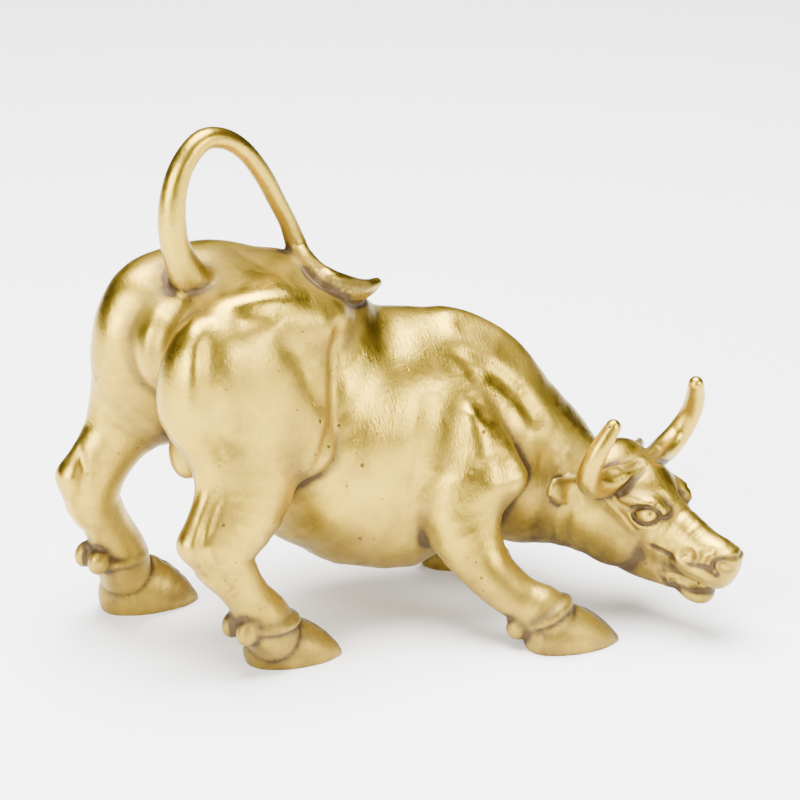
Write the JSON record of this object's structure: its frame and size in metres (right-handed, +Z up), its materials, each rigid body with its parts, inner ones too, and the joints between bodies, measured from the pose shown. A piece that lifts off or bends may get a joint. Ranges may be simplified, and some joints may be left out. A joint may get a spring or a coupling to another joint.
{
  "type": "charging bull figurine",
  "caption": "Small cast brass figurine of a charging bull with its head lowered and turned to one side, horns raised and tail looped over its back",
  "frame": {"origin": "middle of the figure's outline in plan, on the ground plane under the hooves", "axes": "+X is the way the bull charges, along the length of its outline, +Y is to its left, +Z is up"},
  "size_m": [0.0986, 0.0656, 0.084],
  "materials": {
    "brass": "satin polished casting with brown patina in the creases"
  },
  "bodies": {
    "root": {"bull": "brass"}
  },
  "joints": []
}
